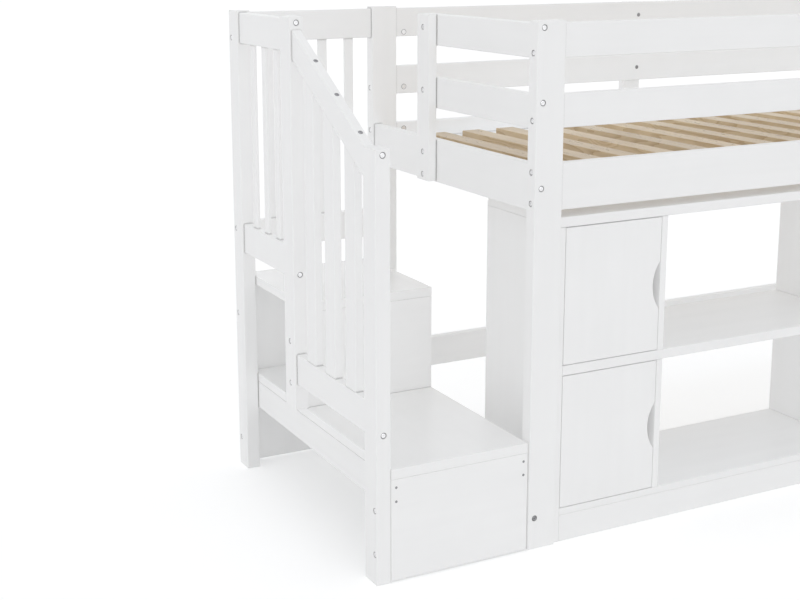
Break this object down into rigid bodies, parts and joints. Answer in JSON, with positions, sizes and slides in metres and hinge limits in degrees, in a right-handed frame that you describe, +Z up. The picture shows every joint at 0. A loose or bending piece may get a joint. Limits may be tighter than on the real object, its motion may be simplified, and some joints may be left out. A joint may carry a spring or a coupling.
{
  "type": "loft bed with stairs",
  "caption": "Mid-height loft bed with slatted base, guard rails, a railed stair with storage at one end and a two-door bookcase under its front side.",
  "frame": {"origin": "middle of the footprint, on the floor", "axes": "+X along the bed away from the stair, +Y from the front to the back, +Z up"},
  "size_m": [2.548, 1.024, 1.44],
  "materials": {
    "white_paint": "satin white paint on solid wood and board",
    "pine": "planed pine, bare",
    "nickel": "nickel plated"
  },
  "bodies": {
    "loft_bed": {"back_stretcher": "white_paint", "bed_post_back_left": "white_paint", "bed_post_back_right": "white_paint", "bed_post_front_left": "white_paint", "bed_post_front_right": "white_paint", "bookcase_bottom": "white_paint", "bookcase_divider_left_lower": "white_paint", "bookcase_divider_left_upper": "white_paint", "bookcase_divider_right_lower": "white_paint", "bookcase_divider_right_upper": "white_paint", "bookcase_middle_shelf": "white_paint", "bookcase_plinth": "white_paint", "bookcase_side_left": "white_paint", "bookcase_side_right": "white_paint", "bookcase_top": "white_paint", "cupboard_back": "white_paint", "end_guard_left_lower": "white_paint", "end_guard_left_upper": "white_paint", "end_guard_right_lower": "white_paint", "end_guard_right_upper": "white_paint", "end_rail_left": "white_paint", "end_rail_right": "white_paint", "end_stretcher_left": "white_paint", "end_stretcher_right": "white_paint", "entrance_batten": "white_paint", "guard_batten_back": "white_paint", "guard_batten_front": "white_paint", "guard_rail_back_lower": "white_paint", "guard_rail_back_upper": "white_paint", "guard_rail_front_lower": "white_paint", "guard_rail_front_upper": "white_paint", "hinge_lower_door_bottom": "nickel", "hinge_lower_door_top": "nickel", "hinge_upper_door_bottom": "nickel", "hinge_upper_door_top": "nickel", "side_rail_back": "white_paint", "side_rail_front": "white_paint", "slat_base": "pine", "stair_back_panel": "white_paint", "stair_back_rail_lower": "white_paint", "stair_back_rail_upper": "white_paint", "stair_bearer_inner": "white_paint", "stair_bearer_outer": "white_paint", "stair_handrail": "white_paint", "stair_low_rail": "white_paint", "stair_post_back": "white_paint", "stair_post_front": "white_paint", "stair_post_middle": "white_paint", "stair_riser_lower": "white_paint", "stair_riser_upper": "white_paint", "stair_side_rail_lower": "white_paint", "stair_side_rail_upper": "white_paint", "stair_spindle_1": "white_paint", "stair_spindle_2": "white_paint", "stair_spindle_3": "white_paint", "stair_tread_lower": "white_paint", "stair_tread_upper": "white_paint"},
    "upper_door": {"door_upper": "white_paint"},
    "lower_door": {"door_lower": "white_paint"}
  },
  "joints": [
    {"name": "upper_door_hinge", "type": "hinge", "parent": "loft_bed", "child": "upper_door", "pos_m": [-0.7018, -0.482, 0.7025], "axis": [0, 0, -1], "range_deg": [0, 100]},
    {"name": "lower_door_hinge", "type": "hinge", "parent": "loft_bed", "child": "lower_door", "pos_m": [-0.7018, -0.482, 0.29], "axis": [0, 0, -1], "range_deg": [0, 100]}
  ]
}
